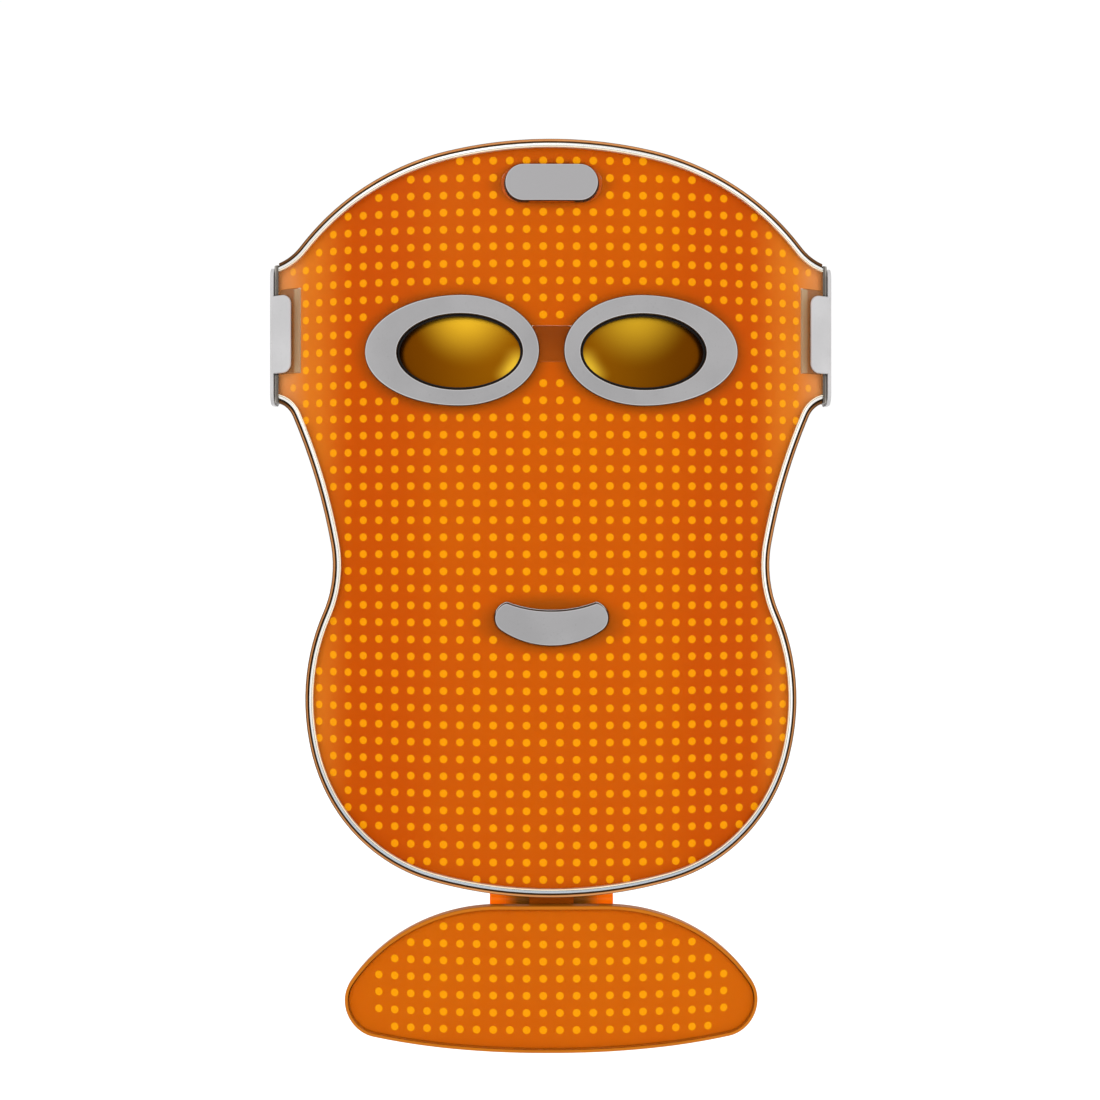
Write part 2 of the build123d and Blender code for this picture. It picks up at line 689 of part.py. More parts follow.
with BuildPart() as power_button:
    add(cut_from((-BUTTON_PROUD, 2.75), button_outline()))
    fillet(front_rim(power_button.part, -BUTTON_PROUD), 0.5)
    add(cut_from((2.15, 2.75), button_lip.sketch))
    add(rod_y(0, STEM_Z, STEM_RADIUS, depth_y(2.5), depth_y(7.9)))
save(power_button, "power_button")


# ---- the strap clips and the head strap

with BuildPart() as strap_clip:
    beyond_bar = block((BAR_X[1], 120), (-50, 50))
    add(cut_from((-TAB_PROUD, -0.05), block((TAB_X, TAB_X + 20), TAB_Z, 3.0), (beyond_bar,)))
    fillet(front_rim(strap_clip.part, -TAB_PROUD), 0.5)
    add(box_of((EAR_X + 0.1, BAR_X[0] + 0.1), (0.8, 12.0), TAB_Z))
    with BuildSketch(Plane.YZ.offset(BAR_X[0])):
        with Locations((6.4, (BAR_Z[0] + BAR_Z[1]) / 2)):
            RectangleRounded(12.2, BAR_Z[1] - BAR_Z[0], 4)
    extrude(amount=BAR_X[1] - BAR_X[0])
    with BuildSketch(Plane.YZ.offset(BAR_X[0] - 0.6)):
        with Locations(((ARM_BACK + 9) / 2, (ARM_Z[0] + ARM_Z[1]) / 2)):
            RectangleRounded(ARM_BACK - 9, ARM_Z[1] - ARM_Z[0], 4)
        with Locations(((SLOT_Y[0] + SLOT_Y[1]) / 2, STRAP_Z)):
            RectangleRounded(SLOT_Y[1] - SLOT_Y[0], STRAP_WIDTH + 1.4, 0.8, mode=Mode.SUBTRACT)
    extrude(amount=BAR_X[1] - BAR_X[0] + 0.6)
    for z in CLIP_SCREW_Z:
        add(rod_x(CLIP_SCREW_Y, z, SCREW_CLEAR, 80, 100), mode=Mode.SUBTRACT)
        add(rod_x(CLIP_SCREW_Y, z, 1.9, BAR_X[1] - 0.9, 100), mode=Mode.SUBTRACT)
save_pair(strap_clip, "strap_clip")

with BuildPart() as clip_screws:
    for side in (-1, 1):
        for z in CLIP_SCREW_Z:
            seat = side * (BAR_X[1] - 0.9)
            add(rod_x(CLIP_SCREW_Y, z, SCREW_THREAD, *sorted((side * (EAR_BLOCK_X + 1.1), seat))))
            add(rod_x(CLIP_SCREW_Y, z, SCREW_HEAD, *sorted((seat, side * (BAR_X[1] - 0.1)))))
save(clip_screws, "clip_screws")

with BuildPart() as clip_leaf:
    add(cut_from(LEAF, block((LEAF_X, EAR_X - 0.1), LEAF_Z)))
save_pair(clip_leaf, "clip_leaf")

with BuildPart() as edge_seal:
    tab_gap = block((80, 95), (TAB_Z[0] - 0.2, TAB_Z[1] + 0.2))
    add(cut_from(SEAL, block(SEAL_X, SEAL_Z), (tab_gap,)))
save_pair(edge_seal, "edge_seal")

# The strap, seen from above: round the back of the head, forward to the clip, out through its slot
# and back along itself.
with BuildLine() as head_line:
    head_depth = HEAD_BACK_Y - HEAD_MIDDLE_Y
    EllipticalCenterArc((0, HEAD_MIDDLE_Y), HEAD_HALF, head_depth, start_angle=0, arc_size=90)
    inner_run = TangentArc((HEAD_HALF, HEAD_MIDDLE_Y), (88.5, 31.0), tangent=(0, -1))
    turn_back = TangentArc(inner_run @ 1, (92.9, 31.6), tangent=inner_run % 1)
    outer_run = TangentArc(turn_back @ 1, (89.0, 52.0), tangent=turn_back % 1)
    tail_run = TangentArc(outer_run @ 1, (83.5, 84.0), tangent=outer_run % 1)
    mirror(about=Plane.YZ)

with BuildPart() as head_strap:
    with BuildSketch(Plane.XY.offset(STRAP_Z - STRAP_WIDTH / 2)):
        trace(head_line.line, STRAP_THICK)
    extrude(amount=STRAP_WIDTH)
save(head_strap, "head_strap")

with BuildPart() as strap_grips:
    with BuildSketch(Plane.XY.offset(STRAP_Z - STRAP_WIDTH / 2 + 2)):
        with BuildLine(mode=Mode.PRIVATE) as grip_line:
            add(tail_run.trim(0.45, 0.95).moved(Location((-STRAP_THICK / 2 - 0.45, 0, 0))))
            mirror(about=Plane.YZ)
        trace(grip_line.line, 0.7)
    extrude(amount=STRAP_WIDTH - 4)
save(strap_grips, "strap_grips")

# ---- the chin panel

chin_cover_growth = -CHIN_RIM - CHIN_GAP

with BuildPart() as chin_rear_shell:
    add(cut_from(CHIN_SHELL, chin_outline()))
    fillet(front_rim(chin_rear_shell.part, CHIN_SHELL[0]), 0.4)
    fillet(front_rim(chin_rear_shell.part, CHIN_SHELL[1]), CHIN_BACK_ROUND)
    add(cut_from((CHIN_SHELL[0] - 1, CHIN_LEDGE_FRONT), chin_outline(-CHIN_RIM)), mode=Mode.SUBTRACT)
    tongue = block((-TONGUE_HALF, TONGUE_HALF), (LEAF_PLATE_Z[0] - 2, CHIN_TOP_Z))
    back_opening = ring_of(chin_outline(-CHIN_LEDGE_WIDTH), tongue)
    add(cut_from((CHIN_LEDGE_FRONT - 0.1, CHIN_SHELL[1] + 1), back_opening), mode=Mode.SUBTRACT)
    for x in HINGE_SCREW_X:
        add(rod_y(x, LEAF_SCREW_Z, SCREW_PILOT, -15.5, -11.0), mode=Mode.SUBTRACT)
    add(cut_from((RIBBON[0] - 0.1, CHIN_SHELL[1] + 1), ribbon_groove), mode=Mode.SUBTRACT)
    add(cut_from((CHIN_LEDGE_FRONT - 1, CHIN_SHELL[1] + 1), chin_ribbon_slot), mode=Mode.SUBTRACT)
save(chin_rear_shell, "chin_rear_shell")

with BuildPart() as chin_front_cover:
    add(cut_from(COVER, chin_outline(chin_cover_growth)))
    fillet(front_rim(chin_front_cover.part, COVER[0]), SOFT_EDGE)
save(chin_front_cover, "chin_front_cover")

with BuildPart() as chin_led_board:
    add(cut_from(BOARD, chin_outline(chin_cover_growth)))
save(chin_led_board, "chin_led_board")

with BuildSketch() as chin_led_area:
    add(chin_outline(-LED_RADIUS - CHIN_RIM - CHIN_GAP))
    add(block((-CHIN_LED_HALF, CHIN_LED_HALF), (CHIN_BOTTOM_Z, CHIN_TOP_Z)), mode=Mode.INTERSECT)
    corner = block((CHIN_CORNER[0], CHIN_LED_HALF + 1), (CHIN_BOTTOM_Z, CHIN_CORNER[1]))
    add(both(corner), mode=Mode.SUBTRACT)

chin_leds = led_group(led_positions(chin_led_area.sketch, CHIN_LED_TOP_ROW_Z, CHIN_BOTTOM_Z))
chin_leds.label = "chin_leds"
export_step(chin_leds, "parts/chin_leds.step")

with BuildPart() as chin_liner:
    add(cut_from(LINER, chin_outline(chin_cover_growth), (chin_ribbon_slot,)))
save(chin_liner, "chin_liner")

with BuildPart() as chin_pad:
    chin_pad_gap = block((-TONGUE_HALF - 5, TONGUE_HALF + 5), (LEAF_PLATE_Z[0] - 5, HIGH))
    add(cut_from(CHIN_PAD, ring_of(chin_outline(-2.7), chin_outline(-6.4)), (chin_pad_gap,)))
save(chin_pad, "chin_pad")


# ---- the hinge between them

with BuildPart() as hinge_bracket:
    add(cut_from((LEDGE[1] + 0.05, 9.0), block((-HINGE_HALF, HINGE_HALF), BRACKET_Z, 2)))
    for side in (-1, 1):
        x_limits = sorted((side * (HINGE_HALF - KNUCKLE), side * HINGE_HALF))
        add(rod_x(HINGE_Y, HINGE_Z, BARREL_RADIUS, *x_limits))
        add(box_of(x_limits, (-11.9, -9.6), (HINGE_Z, -165.0)))
        add(rod_x(HINGE_Y, HINGE_Z, PIN_RADIUS + RUNNING_GAP, *x_limits), mode=Mode.SUBTRACT)
    for x in HINGE_SCREW_X:
        add(rod_y(x, BRACKET_SCREW_Z, SCREW_CLEAR, -15, -5), mode=Mode.SUBTRACT)
save(hinge_bracket, "hinge_bracket")

with BuildPart() as chin_hinge_leaf:
    add(cut_from((CHIN_SHELL[1] + 0.05, 8.6), block((-BARREL_HALF, BARREL_HALF), LEAF_PLATE_Z, 2)))
    add(rod_x(HINGE_Y, HINGE_Z, BARREL_RADIUS, -BARREL_HALF, BARREL_HALF))
    add(box_of((-BARREL_HALF, BARREL_HALF), (-12.4, -9.8), (-179.0, HINGE_Z)))
    add(rod_x(HINGE_Y, HINGE_Z, PIN_RADIUS + RUNNING_GAP, -BARREL_HALF, BARREL_HALF), mode=Mode.SUBTRACT)
    for x in HINGE_SCREW_X:
        add(rod_y(x, LEAF_SCREW_Z, SCREW_CLEAR, -15, -5), mode=Mode.SUBTRACT)
save(chin_hinge_leaf, "chin_hinge_leaf")

with BuildPart() as hinge_pin:
    add(rod_x(HINGE_Y, HINGE_Z, PIN_RADIUS, 0.1 - HINGE_HALF, HINGE_HALF - 0.1))
save(hinge_pin, "hinge_pin")

with BuildPart() as hinge_screws:
    for x in HINGE_SCREW_X:
        add(screw_y(x, BRACKET_SCREW_Z, -14.6, -10.8, 1.1))
save(hinge_screws, "hinge_screws")

with BuildPart() as chin_screws:
    for x in HINGE_SCREW_X:
        add(screw_y(x, LEAF_SCREW_Z, -14.6, -11.2, 1.1))
save(chin_screws, "chin_screws")

with BuildPart() as chin_ribbon:
    add(cut_from(RIBBON, block(RIBBON_X, (RIBBON_Z[0] - 0.1, RIBBON_Z[1] + 0.1))))
    for z in RIBBON_Z:
        add(cut_from((BOARD[1] + 0.05, RIBBON[1]), block(RIBBON_X, (z - 0.1, z + 0.1))))
save(chin_ribbon, "chin_ribbon")
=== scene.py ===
"""Looks of the LED face mask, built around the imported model. All lengths are in metres."""

import math

import bmesh
import bpy
import numpy as np
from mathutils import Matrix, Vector


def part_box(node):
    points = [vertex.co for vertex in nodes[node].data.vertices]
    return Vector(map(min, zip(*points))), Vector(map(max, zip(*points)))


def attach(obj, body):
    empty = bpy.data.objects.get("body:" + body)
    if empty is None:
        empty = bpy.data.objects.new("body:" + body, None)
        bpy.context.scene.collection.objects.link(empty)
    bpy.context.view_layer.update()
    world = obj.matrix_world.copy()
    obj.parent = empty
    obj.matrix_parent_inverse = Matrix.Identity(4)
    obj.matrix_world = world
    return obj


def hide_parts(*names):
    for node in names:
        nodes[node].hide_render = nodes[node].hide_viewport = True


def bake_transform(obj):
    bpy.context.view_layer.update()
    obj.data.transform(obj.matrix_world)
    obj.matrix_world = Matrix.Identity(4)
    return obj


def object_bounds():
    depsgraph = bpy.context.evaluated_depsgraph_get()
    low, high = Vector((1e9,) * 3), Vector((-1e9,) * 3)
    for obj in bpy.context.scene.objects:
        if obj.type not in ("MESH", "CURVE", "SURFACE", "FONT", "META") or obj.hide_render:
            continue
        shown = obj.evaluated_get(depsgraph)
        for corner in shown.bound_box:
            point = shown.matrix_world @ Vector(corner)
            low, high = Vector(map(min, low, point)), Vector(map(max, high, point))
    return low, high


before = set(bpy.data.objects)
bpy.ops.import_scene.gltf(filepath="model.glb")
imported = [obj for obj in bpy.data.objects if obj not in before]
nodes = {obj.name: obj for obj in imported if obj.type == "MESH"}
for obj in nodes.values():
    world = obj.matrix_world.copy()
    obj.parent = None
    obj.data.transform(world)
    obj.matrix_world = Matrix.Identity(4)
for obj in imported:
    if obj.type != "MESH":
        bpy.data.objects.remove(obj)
cad_low, cad_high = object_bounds()
MM = 0.001
SIDES = ("left", "right")

# ---- camera, lights and floor

CAMERA_PLACE = (-0.0042, -0.5025, -0.0556)
CAMERA_AIM = (0.0, -0.020, -0.0556)
CAMERA_LENS = 50.7
CAMERA_SHIFT = (-0.0015, -0.018)
FLOOR_DROP = 0.45
FLOOR_SIZE = 30.0
WORLD_LIGHT = 1.03

# ---- sizes that several pieces share

LED_ROW_STEP = 5.36 * MM
BUTTON_LIP = 1.2 * MM
TRIM_THICK = 2.2 * MM
TRIM_STEP = 0.9 * MM
TRIM_CORNER = math.radians(40)

# ---- colours

AMBER_MIDDLE = (0.555, 0.102, 0.0008)
# Painted shade: this orange is darker where the panel curves back.
AMBER_BEND_SHADE = (0.525, 0.080, 0.0002)
AMBER_CHIN = (0.580, 0.128, 0.001)
# Painted reflection: the next two colours pale the cover towards its far sides and its ears.
AMBER_SIDE_SHEEN = (0.67, 0.20, 0.014)
AMBER_EAR_SHEEN = (0.75, 0.33, 0.10)
AMBER_SPECK = (0.42, 0.035, 0.001)
FILM_SHADE = (0.12, 0.045, 0.003)
FILM_TRACE = (0.75, 0.30, 0.05)
# The lip tones are the mouldings' own colour; the side tones are painted shade where the frame and the chin
# turn away.
FRAME_LIP = (0.40, 0.15, 0.045), (0.58, 0.27, 0.10)
FRAME_SIDE_SHADE = (0.06, 0.025, 0.008), (0.13, 0.05, 0.012)
CHIN_LIP = (0.38, 0.11, 0.006), (0.50, 0.15, 0.008)
CHIN_SIDE_SHADE = (0.30, 0.085, 0.005), (0.42, 0.125, 0.008)
SHADED_SIDE = (0.035, 0.02, 0.01)
BUTTON_TONE = (0.265, 0.26, 0.265)
BUTTON_HIDDEN = (0.50, 0.088, 0.0006)
LEAF_TONE = (0.24, 0.36, 0.28)
LED_LIGHT = (1.0, 0.47, 0.001)


def make_camera():
    data = bpy.data.cameras.new("camera")
    data.lens = CAMERA_LENS
    data.shift_x, data.shift_y = CAMERA_SHIFT
    data.clip_start = 0.01
    camera = bpy.data.objects.new("camera", data)
    bpy.context.scene.collection.objects.link(camera)
    camera.location = CAMERA_PLACE
    sight = Vector(CAMERA_AIM) - Vector(CAMERA_PLACE)
    camera.rotation_euler = sight.to_track_quat("-Z", "Y").to_euler()
    bpy.context.scene.camera = camera


def make_area_light(name, place, aim, size, power):
    data = bpy.data.lights.new(name, "AREA")
    data.shape = "RECTANGLE"
    data.size, data.size_y = size
    data.energy = power
    light = bpy.data.objects.new(name, data)
    bpy.context.scene.collection.objects.link(light)
    light.location = place
    light.rotation_euler = (Vector(aim) - Vector(place)).to_track_quat("-Z", "Y").to_euler()


def make_studio():
    scene = bpy.context.scene
    scene.view_settings.view_transform = "Standard"
    world = bpy.data.worlds.new("studio")
    scene.world = world
    world.use_nodes = True
    background = world.node_tree.nodes["Background"]
    background.inputs["Color"].default_value = (1, 1, 1, 1)
    background.inputs["Strength"].default_value = WORLD_LIGHT
    centre = (cad_low + cad_high) / 2
    make_area_light("key", (-0.5, -1.1, 0.7), centre, (0.9, 0.9), 6.0)
    make_area_light("fill", (0.9, -0.8, 0.2), centre, (0.8, 1.2), 2.5)
    make_area_light("back", (0.3, 1.2, 0.8), centre, (1.0, 1.0), 6.0)


def make_floor():
    half = FLOOR_SIZE / 2
    corners = ((-half, -half, 0), (half, -half, 0), (half, half, 0), (-half, half, 0))
    mesh = bpy.data.meshes.new("floor")
    mesh.from_pydata(corners, [], [(0, 1, 2, 3)])
    floor = bpy.data.objects.new("floor", mesh)
    bpy.context.scene.collection.objects.link(floor)
    floor.location.z = cad_low.z - FLOOR_DROP
    paint = Paint("floor_paper", (0.92, 0.92, 0.92), 0.9)
    paint.put("Emission Color", (1, 1, 1, 1))
    paint.put("Emission Strength", 0.25)
    floor.data.materials.append(paint.material)


# ---- materials


class Paint:
    """A Principled material with short ways to add procedural detail. Patterns use object coordinates."""

    def __init__(self, name, colour, roughness, metallic=0.0, alpha=1.0, specular=0.5):
        self.material = bpy.data.materials.new(name)
        self.material.use_nodes = True
        self.tree = self.material.node_tree
        self.shader = self.tree.nodes["Principled BSDF"]
        self.put("Base Color", (*colour, 1))
        self.put("Roughness", roughness)
        self.put("Metallic", metallic)
        self.put("Alpha", alpha)
        self.put("Specular IOR Level", specular)
        coordinates = self.tree.nodes.new("ShaderNodeTexCoord")
        self.place = coordinates.outputs["Object"]
        self.normal = coordinates.outputs["Normal"]
        self.material.diffuse_color = (*colour, 1)

    def put(self, socket, value):
        self.shader.inputs[socket].default_value = value
        return self

    def node(self, kind, *inputs, **settings):
        """A new node. Inputs are values or sockets, in order, with None where one is left alone."""
        made = self.tree.nodes.new("ShaderNode" + kind)
        for name, value in settings.items():
            setattr(made, name, value)
        for socket, value in zip(made.inputs, inputs):
            if isinstance(value, bpy.types.NodeSocket):
                self.tree.links.new(value, socket)
            elif value is not None:
                socket.default_value = value
        return made

    def math(self, operation, *inputs):
        return self.node("Math", *inputs, operation=operation).outputs[0]

    def axis(self, name):
        """One coordinate of the place on the surface, in metres."""
        return self.node("SeparateXYZ", self.place).outputs["XYZ".index(name)]

    def from_middle(self):
        """How far the place on the surface is from the middle plane, in metres."""
        return self.math("ABSOLUTE", self.axis("X"))

    def turned(self, shallow, steep):
        """1 where the surface turns away from the front or the back, and 0 where it faces them."""
        along = self.node("SeparateXYZ", self.normal).outputs["Y"]
        return self.step(self.math("ABSOLUTE", along), steep, shallow, 1.0, 0.0)

    def noise(self, size, detail=3.0, stretch=(1, 1, 1), roughness=0.5):
        """Noise from 0 to 1 whose blotches are about as large as size."""
        scaled = self.node("VectorMath", self.place, stretch, operation="MULTIPLY").outputs[0]
        made = self.node("TexNoise", scaled)
        made.inputs["Scale"].default_value = 1 / size
        made.inputs["Detail"].default_value = detail
        made.inputs["Roughness"].default_value = roughness
        return made.outputs["Fac"]

    def step(self, value, low, high, out_low=0.0, out_high=1.0):
        """A value mapped smoothly and held between two limits."""
        made = self.node("MapRange", interpolation_type="SMOOTHSTEP")
        for name, number in zip(("From Min", "From Max", "To Min", "To Max"), (low, high, out_low, out_high)):
            made.inputs[name].default_value = number
        self.tree.links.new(value, made.inputs["Value"])
        return made.outputs["Result"]

    def mix(self, share, first, second):
        """A colour between two colours or colour sockets."""
        made = self.node("Mix", data_type="RGBA")
        for socket, value in zip((made.inputs[0], made.inputs[6], made.inputs[7]), (share, first, second)):
            if isinstance(value, bpy.types.NodeSocket):
                self.tree.links.new(value, socket)
            else:
                socket.default_value = value if isinstance(value, float) else (*value, 1)
        return made.outputs[2]

    def colour(self, socket):
        self.tree.links.new(socket, self.shader.inputs["Base Color"])
        return self

    def rough(self, value, low, high):
        """Roughness that varies between two numbers."""
        self.tree.links.new(self.step(value, 0.3, 0.7, low, high), self.shader.inputs["Roughness"])
        return self

    def bump(self, height, depth, strength=1.0):
        """Relief of a depth in metres from a height that runs from 0 to 1."""
        made = self.node("Bump", strength)
        made.inputs["Distance"].default_value = depth
        self.tree.links.new(height, made.inputs["Height"])
        self.tree.links.new(made.outputs["Normal"], self.shader.inputs["Normal"])
        return self


def edge_highlight_and_side_shade(paint, tone, colour):
    """A tone with a painted highlight on rounded edges and painted shade on steep sides."""
    # Painted highlight where rounded edges would catch the light, then painted shade on the steep sides.
    edge_highlight = tuple(min(1.0, 1.75 * channel) for channel in colour)
    tone = paint.mix(paint.turned(0.985, 0.90), tone, edge_highlight)
    return paint.mix(paint.turned(0.86, 0.74), tone, SHADED_SIDE)


def grained(name, colour, roughness, grain=0.35 * MM, depth=0.02 * MM, spread=0.06, edges=False, **options):
    """A moulded surface: fine grain, slow changes of tone and of gloss, and, when edges is set, a painted
    highlight on rounded edges over painted shade on steep sides.
    """
    paint = Paint(name, colour, roughness, **options)
    slow = paint.noise(18 * MM, 4.0)
    fine = paint.noise(grain, 2.0)
    darker = tuple(channel * (1 - spread) for channel in colour)
    lighter = tuple(min(1.0, channel * (1 + spread)) for channel in colour)
    tone = paint.mix(paint.step(slow, 0.3, 0.7), darker, lighter)
    specks = paint.step(paint.noise(0.6 * MM, 2.0), 0.60, 0.75, 0.0, 0.35)
    tone = paint.mix(specks, tone, tuple(0.72 * channel for channel in colour))
    paint.colour(edge_highlight_and_side_shade(paint, tone, colour) if edges else tone)
    paint.rough(slow, roughness - 0.05, roughness + 0.06)
    paint.bump(fine, depth, 0.6)
    return paint


def elliptic(paint, x, z, centre, radii):
    """How many radii a place is from the centre of an oval seen from the front."""
    across = paint.math("DIVIDE", paint.math("SUBTRACT", x, centre[0]), radii[0])
    up = paint.math("DIVIDE", paint.math("SUBTRACT", z, centre[1]), radii[1])
    squares = paint.math("ADD", paint.math("MULTIPLY", across, across), paint.math("MULTIPLY", up, up))
    return paint.math("SQRT", squares)


def middle(node):
    low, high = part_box(node)
    return (low + high) / 2, (high - low) / 2


def amber_tone(paint):
    """Orange with a painted shade where the panel starts to curve back, a painted reflection that pales its
    far sides, and lighter on the chin.
    """
    across = paint.from_middle()
    on_chin = paint.step(paint.axis("Z"), -174 * MM, -171 * MM, 1.0, 0.0)
    # Painted shade where the panel starts to curve back.
    tone = paint.mix(paint.step(across, 30 * MM, 50 * MM), AMBER_MIDDLE, AMBER_BEND_SHADE)
    tone = paint.mix(on_chin, tone, AMBER_CHIN)
    # Painted reflection that pales the far sides and then the ears.
    tone = paint.mix(paint.step(across, 62 * MM, 79 * MM), tone, AMBER_SIDE_SHEEN)
    return paint.mix(paint.step(across, 77 * MM, 88 * MM), tone, AMBER_EAR_SHEEN)


def amber_cover():
    """The clear amber of both covers, with slow changes of tone and fine dark specks."""
    paint = Paint("amber_cover", (0.56, 0.095, 0.001), 0.3, alpha=0.2, specular=0.05)
    slow = paint.noise(30 * MM, 3.0)
    specks = paint.noise(0.9 * MM, 1.0)
    tone = amber_tone(paint)
    tone = paint.mix(paint.step(slow, 0.35, 0.65, 0.0, 0.25), tone, (0.54, 0.07, 0.001))
    paint.colour(paint.mix(paint.step(specks, 0.68, 0.8, 0.0, 0.5), tone, AMBER_SPECK))
    paint.rough(slow, 0.26, 0.36)
    paint.bump(paint.noise(0.5 * MM, 2.0), 0.008 * MM, 0.5)
    return paint.material


def shaded_film(name, shades):
    """The LED film: orange in front, with a painted shade close round each opaque insert, and traces on its
    back.
    """
    paint = Paint(name, (0.55, 0.09, 0.001), 0.5, specular=0.03)
    x, z = paint.from_middle(), paint.axis("Z")
    slow = paint.noise(25 * MM, 3.0)
    tone = paint.mix(paint.step(slow, 0.3, 0.7, 0.0, 0.3), amber_tone(paint), (0.52, 0.068, 0.001))
    for centre, radii, reach, dark in shades:
        near = paint.step(elliptic(paint, x, z, centre, radii), 1.0, reach, dark, 0.0)
        tone = paint.mix(near, tone, FILM_SHADE)
    stripe = paint.math("FRACT", paint.math("DIVIDE", z, LED_ROW_STEP / 2))
    trace = paint.step(paint.math("ABSOLUTE", paint.math("SUBTRACT", stripe, 0.5)), 0.06, 0.10, 1.0, 0.0)
    facing = paint.node("SeparateXYZ", paint.node("NewGeometry").outputs["Normal"]).outputs["Y"]
    behind = paint.math("MULTIPLY", trace, paint.math("GREATER_THAN", facing, 0.3))
    paint.colour(paint.mix(behind, tone, FILM_TRACE))
    paint.bump(behind, 0.03 * MM)
    return paint.material


def shade_round(node, wide, tall, reach, dark):
    """The shade of an insert on the film: its oval, how many radii it reaches, and how dark it starts."""
    centre, half = middle(node)
    return (centre.x, centre.z), (wide * half.x, tall * half.z), reach, dark


def gold_lens():
    """Mirror coating with a painted reflection: brown at the temple, lighter at the nose, with a painted
    highlight at the top and a painted glint low at the nose.
    """
    centre, half = middle("eye_lens_left")
    paint = Paint("gold_lens", (0.20, 0.06, 0.001), 0.3, metallic=1.0)
    x, z = paint.from_middle(), paint.axis("Z")
    # Painted reflection across the lens, lighter towards the nose.
    across = paint.step(x, centre.x - half.x, centre.x + half.x)
    tone = paint.mix(across, (0.235, 0.079, 0.0010), (0.108, 0.029, 0.0002))
    # Painted highlight near the top of the lens.
    top = (centre.x - 0.12 * half.x, centre.z + 1.05 * half.z)
    highlight_reach = elliptic(paint, x, z, top, (0.93 * half.x, 1.5 * half.z))
    tone = paint.mix(paint.step(highlight_reach, 0.0, 1.0, 1.0, 0.0), tone, (0.62, 0.36, 0.017))
    # Painted glint along the rim, low on the nose side.
    rim = elliptic(paint, x, z, (centre.x, centre.z), (half.x - 0.9 * MM, half.z - 0.9 * MM))
    nose = (centre.x - 0.86 * half.x, centre.z - 0.40 * half.z)
    low_nose = elliptic(paint, x, z, nose, (0.42 * half.x, 0.62 * half.z))
    at_nose = paint.step(low_nose, 0.1, 1.0, 1.0, 0.0)
    glint = paint.math("MULTIPLY", paint.step(rim, 0.62, 0.98), at_nose)
    paint.colour(paint.mix(glint, tone, (0.72, 0.45, 0.028)))
    paint.bump(paint.noise(0.4 * MM, 2.0), 0.004 * MM, 0.4)
    return paint.material


def shell_amber(name, lip_tones, side_shade_tones, shallow, steep):
    """Translucent amber moulding with its own tones on its front lip and a painted shade where it turns away.
    """
    paint = Paint(name, lip_tones[0], 0.4, specular=0.05)
    slow = paint.noise(14 * MM, 4.0)
    lip = paint.mix(slow, *lip_tones)
    # Painted shade where the moulding turns away from the front.
    side = paint.mix(slow, *side_shade_tones)
    paint.colour(paint.mix(paint.turned(shallow, steep), lip, side))
    paint.rough(slow, 0.32, 0.46)
    paint.bump(paint.noise(0.4 * MM, 2.0), 0.015 * MM, 0.6)
    return paint.material


def button_grey():
    """Satin grey in front with a painted highlight on its rounded edges, painted shade in the gap round the
    button, and orange on its lip behind the cover.
    """
    low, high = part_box("power_button")
    radius = (high.z - low.z) / 2
    end = (high.x - BUTTON_LIP - radius, low.z + radius)
    paint = grained("button_grey", BUTTON_TONE, 0.42, specular=0.3)
    deep = paint.step(paint.axis("Y"), low.y + 0.8 * MM, low.y + 1.3 * MM)
    outside = elliptic(paint, paint.from_middle(), paint.axis("Z"), end, (radius, radius))
    # Painted shade in the gap next to the button, then the orange of the film over its lip.
    hidden = paint.mix(paint.step(outside, 1.03, 1.07), SHADED_SIDE, BUTTON_HIDDEN)
    paint.colour(paint.mix(deep, edge_highlight_and_side_shade(paint, BUTTON_TONE, BUTTON_TONE), hidden))
    return paint.material


def bridge_brown():
    """Dark moulding behind the cover, darkest along its top."""
    centre, half = middle("eye_bridge")
    paint = grained("bridge_brown", (0.04, 0.012, 0.001), 0.55, specular=0.08)
    height = paint.step(paint.axis("Z"), centre.z - half.z, centre.z + 0.7 * half.z)
    paint.colour(paint.mix(height, (0.13, 0.035, 0.002), (0.012, 0.006, 0.001)))
    return paint.material


def trim_silver():
    """Bright metal with a painted reflection: white along the top and the sides, and blue-grey along the
    bottom.
    """
    paint = Paint("trim_silver", (0.85, 0.85, 0.84), 0.28, metallic=0.9)
    # Painted reflection: the band turns blue-grey towards the bottom.
    low = paint.step(paint.axis("Z"), -155 * MM, -105 * MM, 1.0, 0.0)
    lines = paint.noise(0.25 * MM, 3.0, (1, 0.05, 1))
    bright = paint.mix(lines, (0.70, 0.69, 0.67), (0.84, 0.83, 0.80))
    paint.colour(paint.mix(low, bright, (0.37, 0.41, 0.45)))
    paint.rough(lines, 0.22, 0.36)
    paint.bump(lines, 0.006 * MM, 0.6)
    return paint.material


def groove_tone():
    """The shaded outer edge of the trim, darkest along the bottom."""
    paint = grained("trim_groove", (0.10, 0.075, 0.055), 0.45, specular=0.2)
    low = paint.step(paint.axis("Z"), -140 * MM, -100 * MM, 1.0, 0.0)
    paint.colour(paint.mix(low, (0.21, 0.185, 0.15), (0.06, 0.045, 0.035)))
    return paint.material


def seal_rubber():
    """Black edge seal with a lighter outer half."""
    centre, half = middle("edge_seal_left")
    paint = grained("seal_rubber", (0.05, 0.04, 0.03), 0.5, specular=0.2)
    outer = paint.step(paint.from_middle(), centre.x - 0.1 * half.x, centre.x + 0.2 * half.x)
    paint.colour(paint.mix(outer, (0.10, 0.088, 0.075), (0.26, 0.24, 0.215)))
    return paint.material


def leaf_grey():
    """Grey leaf behind the cover, in the shade of the tab next to it."""
    inner_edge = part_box("clip_leaf_left")[0].x
    paint = grained("leaf_grey", LEAF_TONE, 0.5)
    shade = paint.step(paint.from_middle(), inner_edge + 1.7 * MM, inner_edge + 2.6 * MM)
    paint.colour(paint.mix(shade, LEAF_TONE, (0.05, 0.055, 0.05)))
    return paint.material


